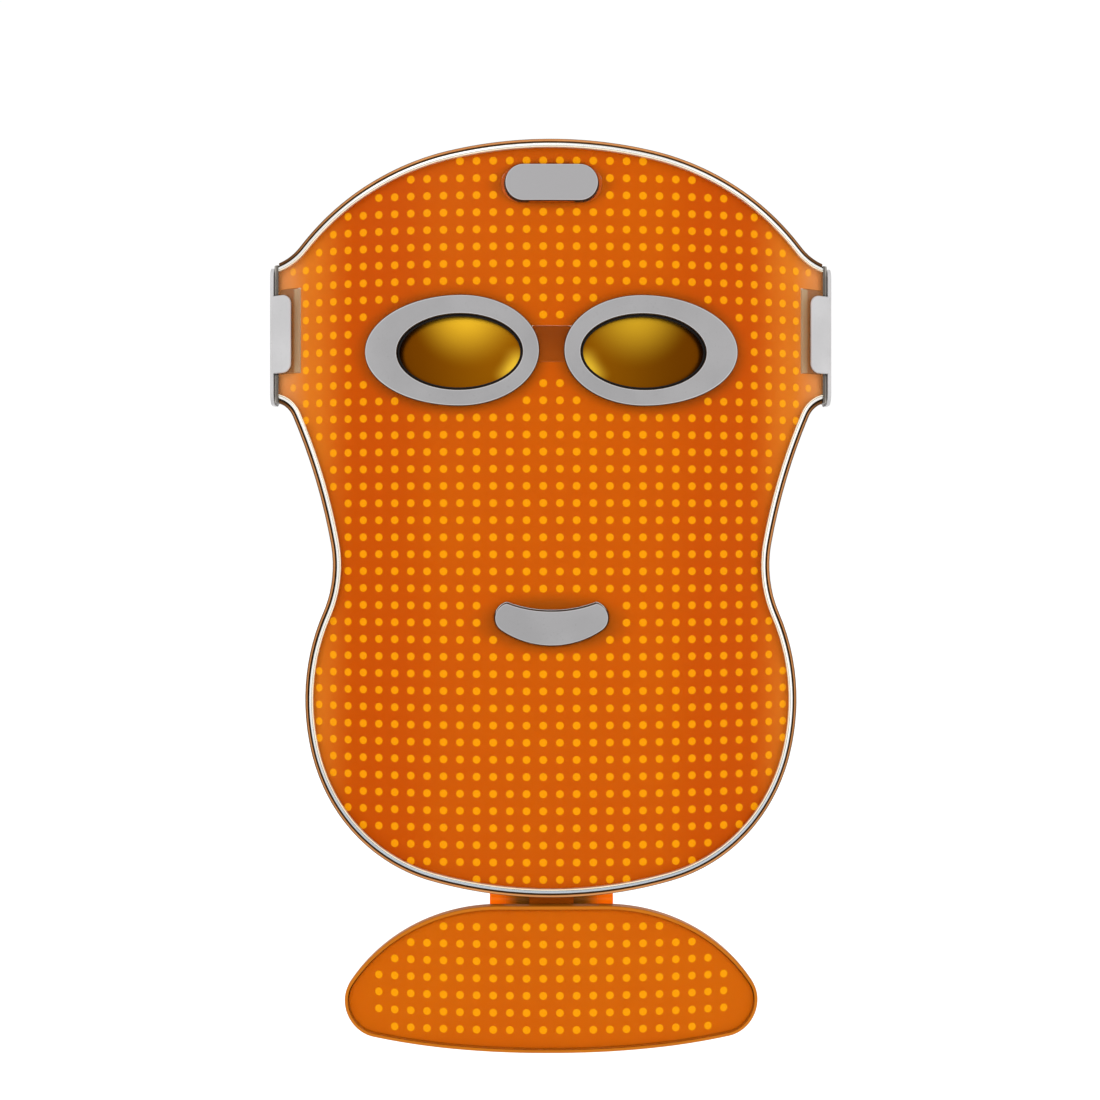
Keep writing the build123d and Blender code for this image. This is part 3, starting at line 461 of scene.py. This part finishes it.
def hinge_amber():
    """Translucent amber with painted light and a painted glow on the two knuckles, and painted shade between
    them.
    """
    centre, half = middle("hinge_bracket")
    paint = Paint("hinge_amber", (0.9, 0.25, 0.01), 0.35, specular=0.15)
    x = paint.from_middle()
    # Painted light on the two knuckles; painted shade between them.
    lit_knuckles = paint.step(x, 0.5 * half.x, 0.9 * half.x)
    lines = paint.noise(0.8 * MM, 3.0, (0.1, 1, 1))
    shade = paint.mix(paint.step(x, 0.1 * half.x, 0.6 * half.x), (0.22, 0.075, 0.004), (0.46, 0.15, 0.004))
    shade = paint.mix(paint.step(lines, 0.35, 0.65, 0.0, 0.35), shade, (0.12, 0.035, 0.002))
    paint.colour(paint.mix(lit_knuckles, shade, (0.84, 0.20, 0.001)))
    # Painted glow: the hinge has no lamp, and this emission stands in for light through the knuckles.
    glow = paint.mix(lit_knuckles, (0.0, 0.0, 0.0), (0.60, 0.07, 0.0002))
    paint.tree.links.new(glow, paint.shader.inputs["Emission Color"])
    paint.put("Emission Strength", 0.8)
    paint.bump(lines, 0.02 * MM, 0.5)
    return paint.material


def brushed(name, colour, roughness, stretch):
    """Metal with fine lines, which run the way that the stretch is small."""
    paint = Paint(name, colour, roughness, metallic=0.9)
    lines = paint.noise(0.25 * MM, 3.0, stretch)
    paint.colour(paint.mix(lines, tuple(0.8 * channel for channel in colour), colour))
    paint.rough(lines, roughness - 0.06, roughness + 0.08)
    paint.bump(lines, 0.006 * MM, 0.6)
    return paint.material


def circuit_green():
    """Green board with copper traces under its mask."""
    paint = Paint("circuit_green", (0.01, 0.10, 0.04), 0.35, specular=0.5)
    cells = paint.node("TexVoronoi", paint.place, feature="DISTANCE_TO_EDGE")
    cells.inputs["Scale"].default_value = 1 / (3 * MM)
    trace = paint.step(cells.outputs["Distance"], 0.03, 0.06, 1.0, 0.0)
    paint.colour(paint.mix(trace, (0.008, 0.09, 0.035), (0.03, 0.20, 0.08)))
    paint.bump(trace, 0.02 * MM)
    return paint.material


def battery_wrap():
    """Creased foil."""
    paint = Paint("battery_wrap", (0.55, 0.57, 0.6), 0.3, metallic=0.7)
    crease = paint.noise(6 * MM, 6.0, roughness=0.7)
    paint.rough(crease, 0.2, 0.42)
    paint.bump(crease, 0.15 * MM, 0.7)
    return paint.material


def webbing():
    """Elastic webbing: ribs run along the strap and the weft crosses them."""
    paint = Paint("webbing", (0.035, 0.035, 0.04), 0.85, specular=0.2)
    paint.put("Sheen Weight", 0.25)
    along = paint.node("TexWave", paint.place, wave_type="BANDS", bands_direction="Z")
    along.inputs["Scale"].default_value = 260.0
    cross = paint.node("TexChecker", paint.place)
    cross.inputs["Scale"].default_value = 1 / (0.9 * MM)
    fuzz = paint.noise(0.5 * MM, 4.0)
    weave = paint.math("ADD", along.outputs["Fac"], paint.math("MULTIPLY", cross.outputs["Fac"], 0.6))
    both = paint.math("ADD", weave, paint.math("MULTIPLY", fuzz, 0.5))
    paint.colour(paint.mix(paint.step(both, 0.3, 1.8), (0.018, 0.018, 0.021), (0.07, 0.07, 0.078)))
    paint.bump(both, 0.12 * MM, 0.8)
    return paint.material


def glowing(name, colour, light, strength):
    """A lit dot, dimmed and paled at the far sides where the cover carries its painted reflection."""
    paint = Paint(name, colour, 0.4, specular=0.03)
    # Dimmer and paler at the far sides, to sit under the painted reflection on the cover.
    far = paint.step(paint.from_middle(), 78 * MM, 86 * MM)
    faded = tuple(0.8 * channel for channel in light[:2]) + (0.06,)
    paint.tree.links.new(paint.mix(far, light, faded), paint.shader.inputs["Emission Color"])
    paint.put("Emission Strength", strength)
    paint.bump(paint.noise(0.4 * MM, 2.0), 0.01 * MM, 0.5)
    return paint.material


def dress(material, *names):
    """Give CAD nodes or new pieces a material in place of the ones they have."""
    for name in names:
        mesh = (nodes.get(name) or bpy.data.objects[name]).data
        mesh.materials.clear()
        mesh.materials.append(material)


# ---- mesh helpers

WELD_DISTANCE = 0.002 * MM


def new_piece(name, mesh, body, slot, *replaced):
    """Put a mesh in the scene as a piece that rides a body and stands for CAD nodes."""
    piece = bpy.data.objects.new(name, mesh)
    bpy.context.scene.collection.objects.link(piece)
    mesh.shade_smooth()
    if body:
        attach(piece, body)
    if replaced:
        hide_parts(*replaced)
    return piece


def applied(mesh, *modifiers):
    """A copy of a mesh with modifiers, each (type, settings), applied to it."""
    holder = bpy.data.objects.new("holder", mesh)
    bpy.context.scene.collection.objects.link(holder)
    for kind, settings in modifiers:
        modifier = holder.modifiers.new(kind, kind)
        for name, value in settings.items():
            setattr(modifier, name, value)
    graph = bpy.context.evaluated_depsgraph_get()
    result = bpy.data.meshes.new_from_object(holder.evaluated_get(graph))
    bpy.data.objects.remove(holder)
    return result


def welded(node):
    """A copy of a CAD node's mesh with its seams closed."""
    work = bmesh.new()
    work.from_mesh(nodes[node].data)
    bmesh.ops.remove_doubles(work, verts=work.verts, dist=WELD_DISTANCE)
    mesh = bpy.data.meshes.new(node + "_copy")
    work.to_mesh(mesh)
    work.free()
    return mesh


def softened(name, node, body, slot, voxel, rounds):
    """A rounded copy of a soft CAD solid: an even skin over it, relaxed so that its corners melt."""
    remesh = ("REMESH", {"mode": "VOXEL", "voxel_size": voxel, "adaptivity": 0.0})
    relax = ("SMOOTH", {"factor": 0.5, "iterations": rounds})
    return new_piece(name, applied(welded(node), remesh, relax), body, slot, node)


def loops_round(node, direction, least):
    """The closed lines round the faces of a node that look in a direction."""
    work = bmesh.new()
    work.from_mesh(welded(node))
    chosen = {face for face in work.faces if face.normal.dot(direction) > least}
    rim = [edge for edge in work.edges if sum(face in chosen for face in edge.link_faces) == 1]
    neighbours = {}
    for edge in rim:
        for vertex, other in (edge.verts, reversed(edge.verts)):
            neighbours.setdefault(vertex, []).append(other)
    loops = []
    while neighbours:
        vertex = next(iter(neighbours))
        loop = []
        while vertex:
            loop.append(vertex.co.copy())
            beside = neighbours.pop(vertex)
            vertex = next((other for other in beside if other in neighbours), None)
        loops.append(loop)
    work.free()
    return loops


def split_at_corners(loop, least_turn):
    """The runs of a closed line between its sharp corners, longest first."""
    count = len(loop)
    corners = []
    for index, point in enumerate(loop):
        before, after = point - loop[index - 1], loop[(index + 1) % count] - point
        if before.angle(after) > least_turn:
            corners.append(index)
    runs = []
    for start, end in zip(corners, corners[1:] + [corners[0] + count]):
        runs.append([loop[index % count] for index in range(start, end + 1)])
    return sorted(runs, key=line_length, reverse=True)


def line_length(line):
    return sum((after - before).length for before, after in zip(line, line[1:]))


def evenly(line, count):
    """Points spread evenly along an open line."""
    lengths = np.cumsum([0.0] + [(after - before).length for before, after in zip(line, line[1:])])
    places = np.linspace(0.0, lengths[-1], count)
    axes = [np.interp(places, lengths, [point[axis] for point in line]) for axis in range(3)]
    return [Vector(point) for point in zip(*axes)]


def face_outwards(mesh):
    """Turn every face of a closed mesh outwards."""
    work = bmesh.new()
    work.from_mesh(mesh)
    bmesh.ops.recalc_face_normals(work, faces=work.faces)
    work.to_mesh(mesh)
    work.free()


def lofted(name, sections, paints):
    """A capped skin through equal sections. Each paint is a material number for one strip of the section."""
    count = len(sections[0])
    vertices = [point for section in sections for point in section]
    faces, materials = [], []
    for index in range(len(sections) - 1):
        for strip in range(count):
            after = (strip + 1) % count
            low, high = index * count, (index + 1) * count
            faces.append((low + strip, low + after, high + after, high + strip))
            materials.append(paints[strip])
    last = (len(sections) - 1) * count
    faces.append(tuple(reversed(range(count))))
    faces.append(tuple(last + strip for strip in range(count)))
    materials += [paints[0], paints[0]]
    mesh = bpy.data.meshes.new(name)
    mesh.from_pydata(vertices, [], faces)
    mesh.polygons.foreach_set("material_index", materials)
    face_outwards(mesh)
    return mesh


# ---- pieces

# Material numbers on the trim.
BRIGHT, CREAM, GROOVE = 0, 1, 2

# Across the trim from the cover outwards: share of its width, height over its flat front in millimetres,
# and the material of the strip that follows.
TRIM_SECTION = (
    (0.00, -0.30, CREAM),
    (0.06, -0.02, CREAM),
    (0.12, 0.04, CREAM),
    (0.20, 0.02, GROOVE),
    (0.25, -0.08, GROOVE),
    (0.30, 0.03, BRIGHT),
    (0.45, 0.06, BRIGHT),
    (0.60, 0.06, BRIGHT),
    (0.74, 0.02, BRIGHT),
    (0.80, -0.05, GROOVE),
    (0.92, -0.22, GROOVE),
    (1.00, -0.60, GROOVE),
)


def make_trim(node, bright, cream, groove):
    """The edge band: a cream bead against the cover, a bright flat and a shaded outer edge."""
    front = Vector((0, -1, 0))
    loop = max(loops_round(node, front, 0.5), key=line_length)
    runs = split_at_corners(loop, TRIM_CORNER)[:2]
    rails = [run if run[0].x < run[-1].x else run[::-1] for run in runs]
    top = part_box(node)[1].z > 0
    rails.sort(key=lambda run: max(point.z for point in run) if top else -min(point.z for point in run))
    count = int(line_length(rails[0]) / TRIM_STEP)
    inner, outer = (evenly(run, count) for run in rails)
    sections = []
    for index in range(count):
        across = outer[index] - inner[index]
        along = inner[min(index + 1, count - 1)] - inner[max(index - 1, 0)]
        normal = along.cross(across).normalized()
        normal = normal if normal.y < 0 else -normal
        raised = [inner[index] + across * share + normal * height * MM for share, height, _ in TRIM_SECTION]
        back = Vector((0, TRIM_THICK / abs(normal.y), 0))
        sections.append(raised + [outer[index] + back, inner[index] + back])
    paints = [paint for _, _, paint in TRIM_SECTION] + [GROOVE, CREAM]
    piece = new_piece(node + "_beaded", lofted(node, sections, paints), "mask", "silver_trim", node)
    for material in (bright, cream, groove):
        piece.data.materials.append(material)


STRAP_RIBS = 15
STRAP_RIB_RISE = 0.09 * MM
STRAP_EDGE = 1.3 * MM
STRAP_STEP = 1.2 * MM
STRAP_CORNER = math.radians(60)
STRAP_THIN_EDGE = 0.12
SEAM_INSETS = (3.0 * MM, 9.0 * MM)
SEAM_MARGIN = 2.6 * MM
STITCH_LENGTH = 2.4 * MM
STITCH_GAP = 0.9 * MM
STITCH_SUNK = 0.12 * MM
STITCH_RADII = (0.26 * MM, 0.24 * MM)
STITCH_SPOKES = 8

# Along a stitch: share of its length, and swell of the thread there.
STITCH_SECTIONS = ((-0.5, 0.35), (-0.32, 1.0), (0.0, 1.15), (0.32, 1.0), (0.5, 0.35))


def strap_middle_line():
    """The strap seen from above, as (point, normal, direction), with its thickness and height."""
    up = Vector((0, 0, 1))
    low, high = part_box("head_strap")
    loop = max(loops_round("head_strap", up, 0.9), key=line_length)
    runs = split_at_corners(loop, STRAP_CORNER)
    thick = min(line_length(run) for run in runs[2:4])
    rail = evenly(runs[0], int(line_length(runs[0]) / STRAP_STEP))
    other = runs[1]
    line = []
    for index, point in enumerate(rail):
        along = (rail[min(index + 1, len(rail) - 1)] - rail[max(index - 1, 0)]).normalized()
        normal = along.cross(up)
        if index == 0:
            inward = 1 if min((point + normal * thick - end).length for end in other) < 0.3 * MM else -1
        line.append((point + normal * inward * thick / 2, normal * inward, along))
    return line, thick, (low.z + high.z) / 2, (high.z - low.z) / 2


def make_strap(webbing_material, thread_material):
    """Elastic webbing with ribs along it, rolled edges, and sewn tails."""
    line, thick, height, half = strap_middle_line()
    steps = 6 * STRAP_RIBS
    profile = []
    for side in (1, -1):
        for step in range(steps + 1):
            across = side * (1 - 2 * step / steps)
            rib = STRAP_RIB_RISE * (math.cos(math.pi * STRAP_RIBS * (across + 1)) - 1)
            from_edge = half * (1 - abs(across))
            roll = math.sqrt(max(0.0, 1 - (1 - min(1.0, from_edge / STRAP_EDGE)) ** 2))
            profile.append((across * half, side * (thick / 2 + rib) * max(STRAP_THIN_EDGE, roll)))
    sections = []
    for point, normal, _ in line:
        middle_point = Vector((point.x, point.y, height))
        sections.append([middle_point + Vector((0, 0, up)) + normal * out for up, out in profile])
    mesh = lofted("webbing_strap", sections, [0] * len(profile))
    strap = new_piece("webbing_strap", mesh, "mask", "strap_webbing", "head_strap")
    dress(webbing_material, strap.name)
    make_stitches(line, thick, height, half, thread_material)


def make_stitches(line, thick, height, half, material):
    """Rows of thread that hem each tail of the strap."""
    vertices, faces, seams = [], [], []
    steps = [(after[0] - before[0]).length for before, after in zip(line, line[1:])]
    lengths = np.cumsum([0.0] + steps)

    def place(distance, up):
        index = int(np.searchsorted(lengths, distance).clip(1, len(line) - 1))
        share = (distance - lengths[index - 1]) / (lengths[index] - lengths[index - 1])
        point = line[index - 1][0].lerp(line[index][0], float(share))
        return Vector((point.x, point.y, height + up)), line[index][1], line[index][2]

    reach = half - SEAM_MARGIN
    pitch = STITCH_LENGTH + STITCH_GAP
    for end in (0.0, 1.0):
        for inset in SEAM_INSETS:
            distance = inset if end == 0.0 else lengths[-1] - inset
            rows = int(2 * reach / pitch)
            for row in range(rows):
                point, normal, _ = place(distance, -reach + (row + 0.5) * 2 * reach / rows)
                seams.append((point, normal, Vector((0, 0, 1))))
    for point, normal, along in seams:
        for face in (1, -1):
            first = len(vertices)
            out = normal * face
            across = along.cross(out).normalized()
            base = point + out * (thick / 2 - STITCH_SUNK)
            for share, swell in STITCH_SECTIONS:
                for spoke in range(STITCH_SPOKES):
                    angle = 2 * math.pi * spoke / STITCH_SPOKES
                    sideways = across * math.cos(angle) * STITCH_RADII[0]
                    ring = sideways + out * math.sin(angle) * STITCH_RADII[1]
                    vertices.append(base + along * share * STITCH_LENGTH + ring * swell)
            last = first + STITCH_SPOKES * (len(STITCH_SECTIONS) - 1)
            for low in range(first, last, STITCH_SPOKES):
                high = low + STITCH_SPOKES
                for spoke in range(STITCH_SPOKES):
                    after = (spoke + 1) % STITCH_SPOKES
                    faces.append((low + spoke, low + after, high + after, high + spoke))
            faces.append(tuple(first + spoke for spoke in range(STITCH_SPOKES)))
            faces.append(tuple(last + spoke for spoke in range(STITCH_SPOKES)))
    mesh = bpy.data.meshes.new("strap_stitches")
    mesh.from_pydata(vertices, [], faces)
    face_outwards(mesh)
    new_piece("strap_stitches", mesh, "mask", "strap_webbing")
    dress(material, "strap_stitches")


def clusters(values, gap):
    """Groups of indices whose sorted values lie no further apart than a gap."""
    order = np.argsort(values)
    breaks = np.flatnonzero(np.diff(values[order]) > gap) + 1
    return np.split(order, breaks)


def led_places(node):
    """The centre and the outward direction of each LED in a group."""
    mesh = nodes[node].data
    points = np.empty(len(mesh.vertices) * 3)
    mesh.vertices.foreach_get("co", points)
    points = points.reshape(-1, 3)
    for row in clusters(points[:, 2], LED_ROW_GAP):
        for group in clusters(points[row, 0], LED_GAP):
            led = points[row[group]]
            centre = (led.min(0) + led.max(0)) / 2
            axis = np.linalg.svd(led - led.mean(0))[2][2]
            yield Vector(centre), Vector(axis if axis[1] < 0 else -axis)


# The dome of light over an LED: its size, its height over the middle of the LED, and its rings as
# (share of the radius, share of the rise).
GLOW_RADIUS = 1.27 * MM
GLOW_RISE = 0.12 * MM
GLOW_LIFT = 0.76 * MM
GLOW_SPOKES = 20
GLOW_RINGS = ((1.0, 0.0), (0.85, 0.6), (0.5, 0.92))
LED_ROW_GAP = 1.5 * MM
LED_GAP = 0.9 * MM


def make_glow(name, node, body, material):
    """A low dome of light on the front of the film over each LED."""
    vertices, faces = [], []
    for centre, outward in led_places(node):
        across = outward.cross(Vector((0, 0, 1))).normalized()
        up = across.cross(outward)
        first = len(vertices)
        base = centre + outward * GLOW_LIFT
        for share, height in GLOW_RINGS:
            for spoke in range(GLOW_SPOKES):
                angle = 2 * math.pi * spoke / GLOW_SPOKES
                flat = (across * math.cos(angle) + up * math.sin(angle)) * GLOW_RADIUS * share
                vertices.append(base + flat + outward * GLOW_RISE * height)
        vertices.append(base + outward * GLOW_RISE)
        top = len(vertices) - 1
        last = top - GLOW_SPOKES
        for spoke in range(GLOW_SPOKES):
            after = (spoke + 1) % GLOW_SPOKES
            for low in range(first, last, GLOW_SPOKES):
                high = low + GLOW_SPOKES
                faces.append((low + spoke, low + after, high + after, high + spoke))
            faces.append((last + spoke, last + after, top))
        faces.append(tuple(first + spoke for spoke in reversed(range(GLOW_SPOKES))))
    mesh = bpy.data.meshes.new(name)
    mesh.from_pydata(vertices, [], faces)
    face_outwards(mesh)
    new_piece(name, mesh, body, "led_resin")
    dress(material, name)


# The pads that touch the face, as (node, body, voxel size, rounds of smoothing, fill).
PADS = (
    ("brow_gasket", "mask", 0.7 * MM, 6, 0.7),
    ("cheek_gasket", "mask", 0.7 * MM, 6, 0.7),
    ("nose_pad", "mask", 0.5 * MM, 8, 0.6),
    ("forehead_pad", "mask", 0.7 * MM, 12, 0.6),
    ("chin_pad", "chin", 0.7 * MM, 6, 0.7),
)
CUP_VOXEL = 0.4 * MM
GASKET_VOXEL = 0.14 * MM
SEAL_VOXEL = 0.3 * MM
RIBBON_VOXEL = 0.12 * MM


def make_soft_pieces(light_silicone, black_silicone, seal_material):
    """The silicone parts, rounded: pads and eye cups, and the lips and seals that hardly give."""
    for node, body, voxel, rounds, fill in PADS:
        piece = softened(node + "_soft", node, body, "grey_silicone", voxel, rounds)
        dress(light_silicone, piece.name)
    for side in SIDES:
        cup = softened(f"eye_cup_soft_{side}", f"eye_cup_{side}", "mask", "dark_silicone", CUP_VOXEL, 3)
        gasket_names = f"lens_gasket_{side}", f"eye_gasket_{side}"
        gasket = softened(*gasket_names, "mask", "dark_silicone", GASKET_VOXEL, 2)
        seal_names = f"edge_seal_soft_{side}", f"edge_seal_{side}"
        seal = softened(*seal_names, "mask", "dark_silicone", SEAL_VOXEL, 3)
        dress(black_silicone, cup.name, gasket.name)
        dress(seal_material, seal.name)


def make_ribbon(material):
    """The flat cable across the chin hinge, which bends on the real mask as the chin tilts; here it gets an
    even skin and rides no body.
    """
    mesh = applied(welded("chin_ribbon"), ("REMESH", {"mode": "VOXEL", "voxel_size": RIBBON_VOXEL}))
    piece = new_piece("hinge_ribbon", mesh, None, "amber_film", "chin_ribbon")
    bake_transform(piece)
    dress(material, piece.name)


make_camera()
make_studio()
make_floor()

shades = (
    shade_round("mouth_insert", 0.9, 0.9, 1.75, 0.75),
    shade_round("eye_ring_left", 0.97, 0.97, 1.22, 0.7),
    shade_round("power_button", 1.02, 1.1, 1.35, 0.6),
)
dress(amber_cover(), "front_cover", "chin_front_cover")
dress(shaded_film("led_film", shades), "led_board", "chin_led_board", "board_ribbon")
dress(shell_amber("frame_amber", FRAME_LIP, FRAME_SIDE_SHADE, 0.99, 0.84), "rear_frame")
dress(shell_amber("chin_amber", CHIN_LIP, CHIN_SIDE_SHADE, 0.97, 0.60), "chin_rear_shell")
dress(hinge_amber(), "hinge_bracket", "chin_hinge_leaf")
cream = grained("trim_cream", (0.78, 0.70, 0.54), 0.35, specular=0.3).material
groove = groove_tone()
bright = trim_silver()
for trim in ("upper_trim", "lower_trim"):
    make_trim(trim, bright, cream, groove)
dress(grained("led_body", (0.95, 0.72, 0.22), 0.25).material, "leds", "chin_leds")
liner = grained("clear_liner", (0.93, 0.86, 0.78), 0.2, alpha=0.28, specular=0.4).material
dress(liner, "inner_liner", "chin_liner")
# The rings and the mouth insert carry a painted edge highlight and painted side shade.
satin_grey = grained("satin_grey", (0.252, 0.248, 0.252), 0.42, edges=True, specular=0.35).material
dress(satin_grey, "mouth_insert", "eye_ring_left", "eye_ring_right")
dress(button_grey(), "power_button")
clip_grey = grained("clip_grey", (0.42, 0.415, 0.42), 0.42, specular=0.35).material
dress(clip_grey, "strap_clip_left", "strap_clip_right")
dress(leaf_grey(), "clip_leaf_left", "clip_leaf_right")
dress(gold_lens(), "eye_lens_left", "eye_lens_right")
dark_plastic = grained("dark_plastic", (0.05, 0.022, 0.008), 0.5).material
dress(dark_plastic, "lens_retainer_left", "lens_retainer_right", "mouth_retainer", "tact_switch")
dress(bridge_brown(), "eye_bridge")
pod_plastic = grained("pod_plastic", (0.30, 0.30, 0.31), 0.5, depth=0.04 * MM).material
dress(pod_plastic, "pod_housing", "pod_cover")
steel = brushed("screw_steel", (0.62, 0.61, 0.60), 0.3, (1, 1, 0.2))
dress(steel, "pod_screws", "clip_screws", "hinge_screws", "chin_screws", "hinge_pin", "usb_c_socket")
dress(circuit_green(), "control_board")
dress(battery_wrap(), "battery")
make_strap(webbing(), grained("strap_thread", (0.16, 0.16, 0.17), 0.7, specular=0.2).material)
dress(grained("strap_grip", (0.30, 0.30, 0.31), 0.6).material, "strap_grips")

glow = glowing("led_glow", (0.50, 0.21, 0.001), LED_LIGHT, 0.58)
make_glow("led_glow", "leds", "mask", glow)
make_glow("chin_led_glow", "chin_leds", "chin", glow)
make_soft_pieces(
    grained("light_silicone", (0.58, 0.57, 0.56), 0.55, specular=0.3).material,
    grained("black_silicone", (0.006, 0.005, 0.005), 0.5, specular=0.1).material,
    seal_rubber(),
)
make_ribbon(shaded_film("ribbon_film", ()))
